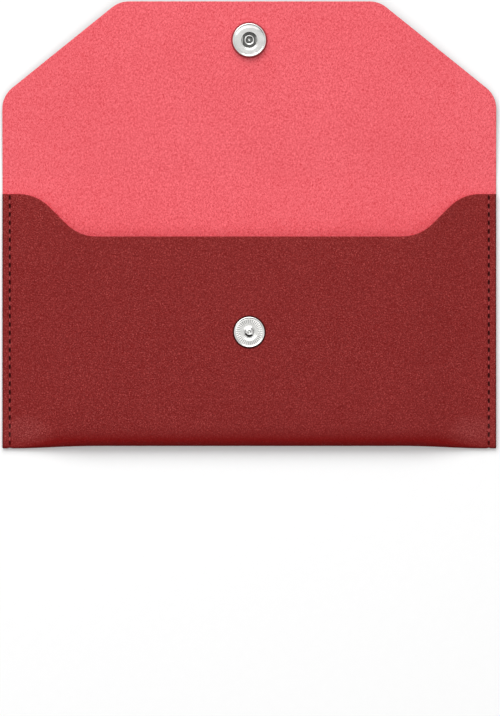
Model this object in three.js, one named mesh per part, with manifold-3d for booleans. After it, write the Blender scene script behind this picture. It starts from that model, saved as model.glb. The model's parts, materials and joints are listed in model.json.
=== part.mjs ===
// Cash envelope wallet: a snap-closed pocket for banknotes, cut from one sheet of
// grained leather cloth. The sheet folds up at the bottom into a pocket sewn down both
// sides, runs on over a narrow fold band and ends in a six-sided flap. A press stud on
// the front panel clicks into a spring socket riveted to the flap.
//
// Millimetres, +Z up. The wallet lies on its back with the flap open: X runs across it,
// Y from the bottom fold towards the flap, and Z = 0 is the table. The open flap slopes
// up a little, because it rests on the domed cap of its snap.

import * as THREE from "three";
import { mergeVertices } from "three/addons/utils/BufferGeometryUtils.js";
import Module from "manifold-3d";

// The sheet
const sheetWidth = 166.6;
const sheetThickness = 0.8;

// The pocket
const pocketHeight = 85.8; // bottom fold to top corners
const pocketCavity = 4.6; // room between the panels in the middle
const seamCavity = 0.1; // room between the panels at the side seams
const bottomCavityShare = 0.75; // part of the cavity that is there at the bottom fold
const bottomRise = 15; // height over which the front panel reaches its full level
const sideRamp = 28; // width over which it rises from a side seam
const seamBorder = 1.2; // from the stitch line in to where the panels part

// The scooped mouth of the front panel
const shoulderWidth = 5.5; // level part beside each scoop
const scoopDepth = 14.45;
const scoopRadius = 14.4; // of the convex and the concave arc
const scoopSlope = THREE.MathUtils.degToRad(45);

// The stitching
const seamInset = 2.5; // side edge to stitch line
const stitchPitch = 2.87; // wanted, and evened out over the seam
const stitchBottomMargin = 1.8; // bottom fold to the middle of the first needle hole
const stitchTopMargin = 1.2; // top corner to the middle of the last needle hole
const threadThickness = 0.34;
const threadLegOffset = 0.4; // needle hole's middle to each leg of thread in it
const threadClearance = 0.04;
const grooveFlank = 0.25; // width of the pressed groove's sloping sides

// The fold band and its two creases
const creaseGap = 0.3; // slit between the solids at each crease
const creaseInset = 0.5; // pocket's top edge down to the lower crease axis
const creaseAxisHeight = 0.9; // sheet's inner face up to a crease axis

// The flap
const flapLength = 59.1; // upper crease axis to the tip
const flapTipWidth = 87.4; // between the sharp corners of the tip
const flapTaperLength = 31.75; // part of the length that narrows
const flapCornerRadius = 9;

// The snap
const studHeight = 39.2; // bottom fold to the stud's axis
const snapSegments = 32;
const rivetHoleClearance = 0.15;
const metalGap = 0.05; // between a metal part and what it is set on
const snapClearance = 0.1; // between the two halves of the closed snap
const capRadius = 6.2;
const capDome = 2.6;
const capRim = 0.5; // height of the cap's upright edge
const capBarrelRadius = 1.3;
const capBoreRadius = 0.9;
const capRollHeight = 0.3;
const capRollReach = 0.45; // how far the rolled end spreads beyond the barrel
const socketRadius = 5.7;
const socketHeight = 1.8;
const socketMouthRadius = 2.6;
const socketBase = 0.25;
const socketFace = 0.3;
const socketWall = 0.4;
const springWireRadius = 0.2;
const springHalfGap = 2.3; // snap axis to the middle of each leg of wire
const springLegLength = 3.5;
const studRadius = 5.2;
const studFlange = 0.6;
const studBallRadius = 1.9;
const studNeckRadius = 1.6;
const studTop = 1.6; // leather face to the ball's lip
const studBoreRadius = 1.15;
const knurlInner = 2.6;
const knurlOuter = 4.3;
const knurlHeight = 0.12;
const knurlRidges = 36;
const postHeadRadius = 4.0;
const postHeadThickness = 0.35;
const postBarrelRadius = 1.0;
const postBoreRadius = 0.7;
const postRollHeight = 0.2;
const postRollReach = 0.4;

// Sizes that follow from these
const halfWidth = sheetWidth / 2;
const seamX = halfWidth - seamInset;
const partingX = seamX - seamBorder;
const seamTop = 2 * sheetThickness + seamCavity;
const panelTop = 2 * sheetThickness + pocketCavity;
const grooveDepth = threadThickness + 2 * threadClearance;
const grooveHalfWidth = threadThickness / 2 + 2 * threadClearance;
const needleHoleLength = 2 * threadLegOffset + threadThickness + 4 * threadClearance;
const needleHoleWidth = threadThickness + 4 * threadClearance;
const creaseZ = sheetThickness + creaseAxisHeight;
const lowerCreaseY = pocketHeight - creaseInset;
// The closed flap lies over the front panel at the height of the closed snap, and the fold
// band is as wide as that takes.
const capRollTop = 2 * metalGap + socketBase + capRollHeight;
const studHeightOverPanel = studTop + metalGap + postRollHeight;
const snapStack =
  snapClearance + Math.max(studFlange + metalGap + socketHeight, studHeightOverPanel + capRollTop);
const foldBandWidth = panelTop + snapStack - sheetThickness - 2 * creaseAxisHeight;
const upperCreaseY = lowerCreaseY + foldBandWidth;
const socketReach = lowerCreaseY - studHeight; // upper crease axis to the socket's axis
const flapRise = restingRise();
const overallLength =
  upperCreaseY + flapLength * Math.cos(flapRise) + creaseZ * Math.sin(flapRise);

// Materials
const leather = new THREE.MeshStandardMaterial({ color: 0x8d2f2d, roughness: 0.6, metalness: 0 });
const thread = new THREE.MeshStandardMaterial({ color: 0x6e2024, roughness: 0.55, metalness: 0 });
const nickel = new THREE.MeshStandardMaterial({ color: 0xd6d6d2, roughness: 0.18, metalness: 1 });
const springSteel = new THREE.MeshStandardMaterial({ color: 0xb9b9b4, roughness: 0.3, metalness: 1 });

// Angle at which the open flap rests: the cap's dome, an ellipse in side view, just
// touches the table.
function restingRise() {
  let low = 0;
  let high = Math.PI / 8;
  for (let i = 0; i < 40; i++) {
    const angle = (low + high) / 2;
    const sag = Math.hypot((capDome - capRim) * Math.cos(angle), capRadius * Math.sin(angle));
    const lift = socketReach * Math.sin(angle) - (creaseZ + capRim) * Math.cos(angle);
    if (creaseZ + lift - sag > 0) high = angle;
    else low = angle;
  }
  return (low + high) / 2;
}

const wasm = await Module();
wasm.setup();

// A closed geometry as a manifold-3d solid.
function solidFrom(geometry) {
  const bare = geometry.clone();
  bare.deleteAttribute("normal");
  bare.deleteAttribute("uv");
  const merged = mergeVertices(bare, 1e-4);
  return new wasm.Manifold(
    new wasm.Mesh({
      numProp: 3,
      vertProperties: new Float32Array(merged.attributes.position.array),
      triVerts: new Uint32Array(merged.index.array),
    }),
  );
}

function geometryFrom(solid) {
  const mesh = solid.getMesh();
  const geometry = new THREE.BufferGeometry();
  geometry.setAttribute("position", new THREE.BufferAttribute(mesh.vertProperties, 3));
  geometry.setIndex(new THREE.BufferAttribute(mesh.triVerts, 1));
  geometry.computeVertexNormals();
  return geometry;
}

function namedMesh(name, geometry, material) {
  const mesh = new THREE.Mesh(geometry, material);
  mesh.name = name;
  return mesh;
}

// A solid of revolution about Z from [radius, height] pairs.
function turned(profile, segments = snapSegments) {
  const points = profile.map(([radius, height]) => new THREE.Vector2(radius, height));
  return new THREE.LatheGeometry(points, segments).rotateX(Math.PI / 2);
}

// Height of the front panel's top edge at x: shoulders, an S-shaped scoop, a level middle.
function mouthEdge(x) {
  const arcRun = scoopRadius * Math.sin(scoopSlope);
  const arcDrop = scoopRadius * (1 - Math.cos(scoopSlope));
  const slopeDrop = Math.max(0, scoopDepth - 2 * arcDrop);
  const slopeRun = slopeDrop / Math.tan(scoopSlope);
  const run = halfWidth - shoulderWidth - Math.abs(x);
  const toEnd = 2 * arcRun + slopeRun - run;
  if (run <= 0) return pocketHeight;
  if (run <= arcRun) return pocketHeight - scoopRadius + Math.sqrt(scoopRadius ** 2 - run ** 2);
  if (toEnd >= arcRun) return pocketHeight - arcDrop - (run - arcRun) * Math.tan(scoopSlope);
  const floor = pocketHeight - 2 * arcDrop - slopeDrop;
  if (toEnd > 0) return floor + scoopRadius - Math.sqrt(scoopRadius ** 2 - toEnd ** 2);
  return floor;
}

function scoopFloorHalfWidth() {
  const arcRun = scoopRadius * Math.sin(scoopSlope);
  const arcDrop = scoopRadius * (1 - Math.cos(scoopSlope));
  const slopeRun = Math.max(0, scoopDepth - 2 * arcDrop) / Math.tan(scoopSlope);
  return halfWidth - shoulderWidth - 2 * arcRun - slopeRun;
}

// Share of the cavity across the width: none at the seams, all of it inside the ramps.
function sideShare(x) {
  const t = THREE.MathUtils.clamp((partingX - Math.abs(x)) / sideRamp, 0, 1);
  return t * t * (3 - 2 * t);
}

// The bottom fold at x: its radius at mid sheet, where its arc starts and the slope it ends at.
function bottomFold(x) {
  const extra = (pocketCavity - seamCavity) * sideShare(x);
  const lean = Math.atan((extra * (1 - bottomCavityShare) * Math.PI) / 2 / bottomRise);
  const rise = sheetThickness + seamCavity + extra * bottomCavityShare;
  const radius = rise / (1 + Math.cos(lean));
  const seamRadius = (sheetThickness + seamCavity) / 2;
  const creaseY = seamRadius + sheetThickness / 2 - (seamRadius * Math.PI) / 2;
  return { radius, lean, extra, startY: creaseY + (radius * (Math.PI - lean)) / 2 };
}

// Mid sheet at x. Stage 0 to 1 runs down the back panel, 1 to 2 round the bottom fold and
// 2 to 3 up the front panel to its scooped edge.
function midSheet(x, stage) {
  const { radius, lean, extra, startY } = bottomFold(x);
  const backZ = sheetThickness / 2;
  if (stage <= 1) {
    return new THREE.Vector3(x, THREE.MathUtils.lerp(pocketHeight, startY, stage), backZ);
  }
  if (stage <= 2) {
    const angle = (stage - 1) * (Math.PI - lean);
    return new THREE.Vector3(
      x,
      startY - radius * Math.sin(angle),
      backZ + radius * (1 - Math.cos(angle)),
    );
  }
  const foot = startY - radius * Math.sin(lean);
  const y = THREE.MathUtils.lerp(foot, mouthEdge(x), stage - 2);
  const climb = Math.sin((Math.min(1, (y - foot) / bottomRise) * Math.PI) / 2);
  const share = bottomCavityShare + (1 - bottomCavityShare) * climb;
  return new THREE.Vector3(x, y, backZ + sheetThickness + seamCavity + extra * share);
}

// Outward unit normal of the folded sheet, on the side that becomes the wallet's outside.
function outwardNormal(x, stage) {
  const step = 1e-3;
  const whole = Math.floor(stage);
  const low = stage === whole ? Math.max(0, stage - step) : stage - step;
  const high = Math.min(3, stage + step);
  const along = midSheet(x, high).sub(midSheet(x, low));
  const across = midSheet(x + step, stage).sub(midSheet(x - step, stage));
  return across.cross(along).normalize();
}

// Columns of the sheet's grid from the middle to one side, closer together on the ramp.
function halfColumns() {
  const levelEnd = Math.min(scoopFloorHalfWidth(), partingX - sideRamp);
  const rampSteps = 12;
  const columns = [0, levelEnd / 2, levelEnd];
  for (let i = 1; i <= rampSteps; i++) {
    columns.push(THREE.MathUtils.lerp(levelEnd, partingX, i / rampSteps));
  }
  const groove = grooveHalfWidth + grooveFlank;
  columns.push(seamX - groove, seamX - grooveHalfWidth, seamX + grooveHalfWidth, seamX + groove);
  columns.push(halfWidth);
  return columns;
}

function sheetStages() {
  const backSteps = [0, 0.5];
  const foldSteps = [0, 1, 2, 3, 4, 5, 6, 7].map((i) => 1 + i / 8);
  const riseShare = bottomRise / pocketHeight;
  const frontSteps = [0, 0.2, 0.4, 0.6, 0.8, 1].map((s) => 2 + s * riseShare);
  return [...backSteps, ...foldSteps, ...frontSteps, 2 + (1 + riseShare) / 2, 3];
}

// Depth by which the outside of the sheet is pressed in at x, along the stitch lines.
function groovePress(x) {
  return Math.abs(Math.abs(x) - seamX) <= grooveHalfWidth + 1e-6 ? grooveDepth : 0;
}

// The pocket's sheet: a grid on its outside, one on its lining side, and a rim round both.
function foldedSheet() {
  const half = halfColumns();
  const columns = [...half.slice(1).reverse().map((x) => -x), ...half];
  const stages = sheetStages();
  const across = columns.length;
  const positions = [];
  for (const lining of [false, true]) {
    for (const stage of stages) {
      for (const x of columns) {
        const offset = lining ? -sheetThickness / 2 : sheetThickness / 2 - groovePress(x);
        const point = midSheet(x, stage).addScaledVector(outwardNormal(x, stage), offset);
        positions.push(x, point.y, point.z);
      }
    }
  }
  const layer = across * stages.length;
  const at = (lining, row, column) => (lining ? layer : 0) + row * across + column;
  const indices = [];
  const quad = (a, b, c, d) => indices.push(a, c, b, a, d, c);
  for (let row = 0; row + 1 < stages.length; row++) {
    for (let column = 0; column + 1 < across; column++) {
      quad(at(0, row, column), at(0, row + 1, column), at(0, row + 1, column + 1), at(0, row, column + 1));
      quad(at(1, row, column), at(1, row, column + 1), at(1, row + 1, column + 1), at(1, row + 1, column));
    }
    quad(at(0, row, 0), at(1, row, 0), at(1, row + 1, 0), at(0, row + 1, 0));
    const last = across - 1;
    quad(at(0, row, last), at(0, row + 1, last), at(1, row + 1, last), at(1, row, last));
  }
  for (let column = 0; column + 1 < across; column++) {
    quad(at(0, 0, column), at(0, 0, column + 1), at(1, 0, column + 1), at(1, 0, column));
    const end = stages.length - 1;
    quad(at(0, end, column), at(1, end, column), at(1, end, column + 1), at(0, end, column + 1));
  }
  const geometry = new THREE.BufferGeometry();
  geometry.setAttribute("position", new THREE.Float32BufferAttribute(positions, 3));
  geometry.setIndex(indices);
  return geometry;
}

// Heights of the needle holes, spread evenly between the two margins.
function needleHoles() {
  const run = pocketHeight - stitchBottomMargin - stitchTopMargin;
  const stitches = Math.round(run / stitchPitch);
  return Array.from(
    { length: stitches + 1 },
    (_, i) => stitchBottomMargin + (run * i) / stitches,
  );
}

function needleHoleCutters() {
  const cutters = [];
  for (const side of [-1, 1]) {
    for (const y of needleHoles()) {
      const cutter = new THREE.BoxGeometry(needleHoleWidth, needleHoleLength, 3 * seamTop);
      cutters.push(solidFrom(cutter.translate(side * seamX, y, seamTop / 2)));
    }
  }
  return cutters;
}

function pocket() {
  const rivetHole = new THREE.CylinderGeometry(
    postBarrelRadius + rivetHoleClearance,
    postBarrelRadius + rivetHoleClearance,
    3 * sheetThickness,
    16,
  );
  rivetHole.rotateX(Math.PI / 2).translate(0, studHeight, panelTop - sheetThickness / 2);
  const cut = wasm.Manifold.union([solidFrom(rivetHole), ...needleHoleCutters()]);
  return namedMesh("pocket", geometryFrom(solidFrom(foldedSheet()).subtract(cut)), leather);
}

// One thread of a seam: flat runs between the needle holes, and a loop down into each hole
// that meets the other thread's loops halfway through the leather. The needle thread runs
// on the front panel, and the bobbin thread, its mirror image, on the back panel.
function seamThread(name, side, isNeedle) {
  const holes = needleHoles();
  const face = seamTop - grooveDepth + threadClearance + threadThickness;
  const runUnder = face - threadThickness;
  const loopUnder = seamTop / 2 + threadClearance;
  const loopOver = loopUnder + threadThickness;
  const legOut = threadLegOffset + threadThickness / 2;
  const legIn = threadLegOffset - threadThickness / 2;
  const over = [];
  const under = [];
  holes.forEach((y, i) => {
    if (i > 0) {
      over.push([y - legIn, face], [y - legIn, loopOver]);
      under.push([y - legOut, runUnder], [y - legOut, loopUnder]);
    } else {
      under.push([y - legIn, loopUnder]);
      over.push([y - legIn, loopOver]);
    }
    if (i < holes.length - 1) {
      over.push([y + legIn, loopOver], [y + legIn, face]);
      under.push([y + legOut, loopUnder], [y + legOut, runUnder]);
    } else {
      under.push([y + legIn, loopUnder]);
      over.push([y + legIn, loopOver]);
    }
  });
  const place = ([y, z]) => new THREE.Vector2(y, isNeedle ? z : seamTop - z);
  const outline = new THREE.Shape([...under, ...over.reverse()].map(place));
  const ribbon = new THREE.ExtrudeGeometry(outline, { depth: threadThickness, bevelEnabled: false });
  const alongSeam = new THREE.Matrix4().makeBasis(
    new THREE.Vector3(0, 1, 0),
    new THREE.Vector3(0, 0, 1),
    new THREE.Vector3(1, 0, 0),
  );
  ribbon.applyMatrix4(alongSeam).translate(side * seamX - threadThickness / 2, 0, 0);
  return namedMesh(name, ribbon, thread);
}

// The band that turns over the pocket's mouth, between the two creases.
function foldBand() {
  const from = pocketHeight + creaseGap;
  const to = upperCreaseY - creaseGap / 2;
  const band = new THREE.BoxGeometry(sheetWidth, to - from, sheetThickness);
  return namedMesh("fold_band", band.translate(0, (from + to) / 2, sheetThickness / 2), leather);
}

// A closed outline through corners, each [x, y, radius], with an arc in each round corner.
function roundedOutline(corners) {
  const outline = new THREE.Shape();
  corners.forEach(([x, y, radius], i) => {
    const corner = new THREE.Vector2(x, y);
    if (radius === 0) {
      if (i === 0) outline.moveTo(x, y);
      else outline.lineTo(x, y);
      return;
    }
    const before = corners[i - 1];
    const after = corners[i + 1];
    const inward = new THREE.Vector2(before[0], before[1]).sub(corner).normalize();
    const outwardLeg = new THREE.Vector2(after[0], after[1]).sub(corner).normalize();
    const halfAngle = Math.acos(inward.dot(outwardLeg)) / 2;
    const middle = inward.clone().add(outwardLeg).normalize();
    const centre = corner.clone().addScaledVector(middle, radius / Math.sin(halfAngle));
    const tangent = radius / Math.tan(halfAngle);
    const start = corner.clone().addScaledVector(inward, tangent).sub(centre);
    const end = corner.clone().addScaledVector(outwardLeg, tangent).sub(centre);
    outline.absarc(centre.x, centre.y, radius, start.angle(), end.angle(), false);
  });
  return outline;
}

// The flap in its own frame: Y = 0 and Z = 0 on the upper crease axis, lining side up.
function flap() {
  const tip = flapTipWidth / 2;
  const shoulder = flapLength - flapTaperLength;
  const root = creaseGap / 2;
  const outline = roundedOutline([
    [-halfWidth, root, 0],
    [halfWidth, root, 0],
    [halfWidth, shoulder, flapCornerRadius],
    [tip, flapLength, flapCornerRadius],
    [-tip, flapLength, flapCornerRadius],
    [-halfWidth, shoulder, flapCornerRadius],
    [-halfWidth, root, 0],
  ]);
  const rivetHole = new THREE.Path();
  rivetHole.absarc(0, socketReach, capBarrelRadius + rivetHoleClearance, 0, 2 * Math.PI, true);
  outline.holes.push(rivetHole);
  const sheet = new THREE.ExtrudeGeometry(outline, {
    depth: sheetThickness,
    bevelEnabled: false,
    curveSegments: 10,
  });
  return namedMesh("flap", sheet.translate(0, 0, -creaseZ), leather);
}

// The snap's parts stand on the snap's axis, with Z = 0 on the leather face they are set on.

// Domed cap on the flap's outside, below Z = 0, with a barrel rolled over inside the socket.
function snapCap() {
  const profile = [];
  const domeSteps = 8;
  for (let i = 0; i <= domeSteps; i++) {
    const angle = ((i / domeSteps) * Math.PI) / 2;
    profile.push([
      capRadius * Math.sin(angle),
      -capRim - (capDome - capRim) * Math.cos(angle),
    ]);
  }
  const rimBevel = capRim / 2;
  const seat = sheetThickness + metalGap + socketBase + metalGap;
  const rollTop = seat + capRollHeight;
  const rollOut = capBarrelRadius + capRollReach;
  profile.push(
    [capRadius, -metalGap - rimBevel],
    [capRadius - rimBevel, -metalGap],
    [capBarrelRadius, -metalGap],
    [capBarrelRadius, seat],
    [rollOut, seat],
    [rollOut, seat + capRollHeight / 2],
    [(rollOut + capBoreRadius) / 2, rollTop],
    [capBoreRadius, seat + capRollHeight / 2],
    [capBoreRadius, sheetThickness / 2],
    [0, sheetThickness / 2],
  );
  return namedMesh("snap_cap", turned(profile), nickel);
}

// Round socket on the flap's lining: a base plate and a face plate round the spring's room.
function snapSocket() {
  const hole = capBarrelRadius + rivetHoleClearance;
  const top = metalGap + socketHeight;
  const bevel = socketWall;
  const lip = socketFace / 2;
  const inner = socketRadius - socketWall;
  const profile = [
    [hole, metalGap],
    [socketRadius - bevel, metalGap],
    [socketRadius, metalGap + bevel],
    [socketRadius, top - bevel],
    [socketRadius - bevel, top],
    [socketMouthRadius + lip, top],
    [socketMouthRadius, top - lip],
    [socketMouthRadius, top - socketFace],
    [inner, top - socketFace],
    [inner, metalGap + socketBase],
    [hole, metalGap + socketBase],
    [hole, metalGap],
  ];
  return namedMesh("snap_socket", turned(profile), nickel);
}

// Hairpin of spring wire in the socket: two straight legs that grip the stud, one bow.
function socketSpring() {
  const level = metalGap + socketHeight - socketFace - springWireRadius - metalGap;
  const roomRadius = socketRadius - socketWall - springWireRadius - 2 * metalGap;
  const bowY = roomRadius - springHalfGap;
  const points = [];
  const legSteps = 2;
  for (let i = 0; i < legSteps; i++) {
    points.push(new THREE.Vector3(springHalfGap, -springLegLength + ((springLegLength + bowY) * i) / legSteps, level));
  }
  const bowSteps = 8;
  for (let i = 0; i <= bowSteps; i++) {
    const angle = (i / bowSteps) * Math.PI;
    points.push(
      new THREE.Vector3(springHalfGap * Math.cos(angle), bowY + springHalfGap * Math.sin(angle), level),
    );
  }
  for (let i = legSteps - 1; i >= 0; i--) {
    points.push(new THREE.Vector3(-springHalfGap, -springLegLength + ((springLegLength + bowY) * i) / legSteps, level));
  }
  const section = new THREE.Shape();
  section.absarc(0, 0, springWireRadius, 0, 2 * Math.PI, false);
  const wire = new THREE.ExtrudeGeometry(section, {
    steps: 24,
    curveSegments: 8,
    bevelEnabled: false,
    extrudePath: new THREE.CatmullRomCurve3(points, false, "centripetal"),
  });
  return namedMesh("socket_spring", wire, springSteel);
}

// Stud on the front panel: a flange with a knurled ring, a neck and a ball with a bore.
function snapStud() {
  const knurlFloor = studFlange - knurlHeight - metalGap;
  const bevel = studFlange / 3;
  const profile = [
    [studBoreRadius, metalGap],
    [studRadius - bevel, metalGap],
    [studRadius, metalGap + bevel],
    [studRadius, studFlange - bevel],
    [studRadius - bevel, studFlange],
    [knurlOuter + bevel, studFlange],
    [knurlOuter, knurlFloor],
    [knurlInner, knurlFloor],
    [(knurlInner + studNeckRadius) / 2, studFlange],
    [studNeckRadius, studFlange + (studTop - studFlange) / 4],
    [studBallRadius, studFlange + (studTop - studFlange) * 0.6],
    [(studBallRadius + studNeckRadius) / 2, studFlange + (studTop - studFlange) * 0.85],
    [(studBallRadius + studBoreRadius) / 2, studTop],
    [studBoreRadius, studTop],
    [studBoreRadius, metalGap],
  ];
  const ringRows = profile.flatMap(([radius], row) =>
    (radius === knurlOuter || radius === knurlInner) && row > 0 ? [row] : [],
  );
  const geometry = turned(profile, 2 * knurlRidges);
  const position = geometry.getAttribute("position");
  for (let segment = 0; segment <= 2 * knurlRidges; segment += 2) {
    for (const row of ringRows) {
      const vertex = segment * profile.length + row;
      position.setZ(vertex, position.getZ(vertex) + knurlHeight);
    }
  }
  return namedMesh("snap_stud", geometry, nickel);
}

// Eyelet that holds the stud: a head inside the pocket and a barrel rolled over the ball.
function studPost() {
  const headTop = -sheetThickness - metalGap;
  const rollSeat = studTop + metalGap;
  const rollOut = postBarrelRadius + postRollReach;
  const profile = [
    [postBoreRadius, headTop - postHeadThickness],
    [postHeadRadius - postHeadThickness / 2, headTop - postHeadThickness],
    [postHeadRadius, headTop - postHeadThickness / 2],
    [postHeadRadius, headTop],
    [postBarrelRadius, headTop],
    [postBarrelRadius, rollSeat],
    [rollOut, rollSeat],
    [rollOut, rollSeat + postRollHeight / 2],
    [(rollOut + postBoreRadius) / 2, rollSeat + postRollHeight],
    [postBoreRadius, rollSeat + postRollHeight / 2],
    [postBoreRadius, headTop - postHeadThickness],
  ];
  return namedMesh("stud_post", turned(profile, 24), nickel);
}

function flapAssembly() {
  const group = new THREE.Group();
  const onLining = new THREE.Group().add(snapSocket(), socketSpring());
  onLining.position.set(0, socketReach, -creaseAxisHeight);
  const onOutside = new THREE.Group().add(snapCap());
  onOutside.position.set(0, socketReach, -creaseZ);
  group.add(flap(), onLining, onOutside);
  group.position.set(0, upperCreaseY, creaseZ);
  group.rotation.x = flapRise;
  return group;
}

function pocketAssembly() {
  const group = new THREE.Group();
  const onFront = new THREE.Group().add(snapStud(), studPost());
  onFront.position.set(0, studHeight, panelTop);
  group.add(pocket(), onFront);
  group.add(seamThread("left_needle_thread", -1, true), seamThread("left_bobbin_thread", -1, false));
  group.add(seamThread("right_needle_thread", 1, true), seamThread("right_bobbin_thread", 1, false));
  return group;
}

const wallet = new THREE.Group();
wallet.add(pocketAssembly(), foldBand(), flapAssembly());
// The origin is on the table under the middle of the open wallet.
wallet.position.y = -overallLength / 2;

export default wallet;
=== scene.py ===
"""Visual model of an open cash envelope wallet, laid out as a Blender add-on.

Its operators dress the loaded frame: the leather cloth, the two sewn seams and the
press stud, and set up the stage. Lengths are in metres, in the frame's own axes: X runs
across the wallet, Y from the bottom fold to the flap and Z up from the table.
"""

import json
import math

import bpy
import numpy as np
from mathutils import Matrix, Vector


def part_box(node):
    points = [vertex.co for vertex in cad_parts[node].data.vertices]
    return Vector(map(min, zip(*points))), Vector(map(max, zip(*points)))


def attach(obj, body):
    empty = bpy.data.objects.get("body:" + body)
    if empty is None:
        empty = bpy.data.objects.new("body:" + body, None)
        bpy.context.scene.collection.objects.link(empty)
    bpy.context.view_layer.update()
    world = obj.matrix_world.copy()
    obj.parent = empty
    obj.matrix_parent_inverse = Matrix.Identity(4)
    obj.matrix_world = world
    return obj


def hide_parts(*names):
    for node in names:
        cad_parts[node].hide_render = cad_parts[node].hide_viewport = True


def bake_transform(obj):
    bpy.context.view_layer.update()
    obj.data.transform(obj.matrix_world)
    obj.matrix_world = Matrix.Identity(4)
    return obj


bl_info = {
    "name": "Cash Envelope Wallet",
    "version": (1, 0, 0),
    "blender": (4, 5, 0),
    "location": "3D View > Sidebar > Wallet",
    "description": "Builds the leather, seams and press stud of an envelope wallet",
    "category": "Object",
}

MM = 0.001
AXIS = 1e-3  # radius in millimetres that stands for a lathe's axis
UV_SCALE, UV_MIDDLE = 5, 0.5  # how the flat cut, in metres, lies on the UV square

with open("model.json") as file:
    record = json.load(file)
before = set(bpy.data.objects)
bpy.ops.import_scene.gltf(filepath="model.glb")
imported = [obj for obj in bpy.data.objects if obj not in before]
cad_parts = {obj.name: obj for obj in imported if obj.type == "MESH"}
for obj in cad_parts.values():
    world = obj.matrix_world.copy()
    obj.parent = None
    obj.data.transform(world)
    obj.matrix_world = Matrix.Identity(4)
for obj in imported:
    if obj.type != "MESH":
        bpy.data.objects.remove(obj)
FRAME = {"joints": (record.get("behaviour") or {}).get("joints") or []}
CREASES = {joint["name"]: joint["pos_m"] for joint in FRAME["joints"]}


def length(name, description, millimetres):
    """A length property with its default in millimetres"""
    return bpy.props.FloatProperty(
        name=name, description=description, default=millimetres * MM, unit="LENGTH",
        subtype="DISTANCE", precision=5,
    )


def swatch(name, description, *rgb):
    """A colour property"""
    return bpy.props.FloatVectorProperty(
        name=name, description=description, default=rgb, subtype="COLOR", min=0.0, max=1.0
    )


def power(name, description, default):
    """A light's strength"""
    return bpy.props.FloatProperty(name=name, description=description, default=default, min=0.0)


def crease(name, description, joint):
    """A point on a crease's axis, which the frame gives"""
    return bpy.props.FloatVectorProperty(
        name=name, description=description, default=CREASES[joint], subtype="XYZ"
    )


def whole(name, description, default):
    """A whole number of one or more"""
    return bpy.props.IntProperty(name=name, description=description, default=default, min=1)


class WalletSheetSettings(bpy.types.PropertyGroup):
    """The leather cloth and the pocket that it is folded into"""

    thickness: length("Thickness", "Thickness of the leather cloth", 0.8)
    seam_cavity: length("Seam cavity", "Room between the panels at the side seams", 0.1)
    bottom_share: bpy.props.FloatProperty(
        name="Bottom share", description="Share of the pocket's depth at the bottom fold",
        default=0.75, min=0.0, max=1.0,
    )
    bottom_rise: length("Bottom rise", "Height over which the front panel gets level", 15)
    side_ramp: length("Side ramp", "Width over which the front panel rises", 28)
    seam_border: length("Seam border", "Stitch line to where the panels part", 1.2)
    shoulder: length("Shoulder", "Level top edge beside each scoop", 5.5)
    scoop_depth: length("Scoop depth", "Depth of the scooped mouth", 14.45)
    scoop_radius: length("Scoop radius", "Radius of both arcs of the scoop", 14.4)
    mouth_lift: length("Mouth lift", "Rise of the front panel's free edge", 0.18)
    crease_length: length("Crease length", "Leather that bends at each crease", 2.4)
    waviness: length("Waviness", "Height of the soft waves in the cloth", 0.16)
    edge_round: length("Edge rounding", "Width of the rounded cut edge", 0.25)


class WalletFlapSettings(bpy.types.PropertyGroup):
    """The flap's outline"""

    length: length("Length", "Upper crease to the flap's tip", 59.1)
    tip_width: length("Tip width", "Width of the tip between its sharp corners", 87.4)
    taper_length: length("Taper length", "Length of the part that narrows", 31.75)
    corner_radius: length("Corner radius", "Radius of the flap's corners", 9)


class WalletSeamSettings(bpy.types.PropertyGroup):
    """The lockstitch down both sides"""

    inset: length("Inset", "Side edge to the stitch line", 2.5)
    bottom_margin: length("Bottom margin", "Bottom fold to the first needle hole", 1.8)
    top_margin: length("Top margin", "Last needle hole to the top corner", 1.2)
    diameter: length("Thread diameter", "Diameter of the thread", 0.46)
    groove: length("Groove depth", "Depth to which the thread draws the leather in", 0.42)
    puff: length("Puff", "Rise of the leather beside the thread", 0.08)
    stitches: whole("Stitches", "Stitches in each seam", 29)


class WalletSnapSettings(bpy.types.PropertyGroup):
    """The two halves of the press stud"""

    cap_radius: length("Cap radius", "Radius of the domed cap", 6.2)
    cap_dome: length("Cap dome", "Height of the whole cap", 2.6)
    cap_rim: length("Cap rim", "Height of the cap's upright edge", 0.5)
    socket_radius: length("Socket radius", "Outer radius of the socket", 5.7)
    socket_top: length("Socket top", "Lining to the socket's top", 1.85)
    mouth_radius: length("Mouth radius", "Radius of the socket's mouth", 2.55)
    wire_gap: length("Wire gap", "Snap's axis to each leg of the spring wire", 2.3)
    wire_leg: length("Wire leg", "Snap's axis to the ends of the spring wire", 3.5)
    wire_room: length("Wire room", "Snap's axis to the spring wire's bend", 4.9)
    wire_height: length("Wire height", "Lining to the middle of the spring wire", 1.25)
    wire_radius: length("Wire radius", "Radius of the spring wire", 0.2)
    stud_radius: length("Stud radius", "Radius of the stud's flange", 5.2)
    stud_flange: length("Stud flange", "Front panel to the top of the flange", 0.6)
    ridge_height: length("Ridge height", "Height of the ridges on the flange", 0.03)
    ridges: whole("Ridges", "Ridges round the stud's flange", 36)


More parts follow.
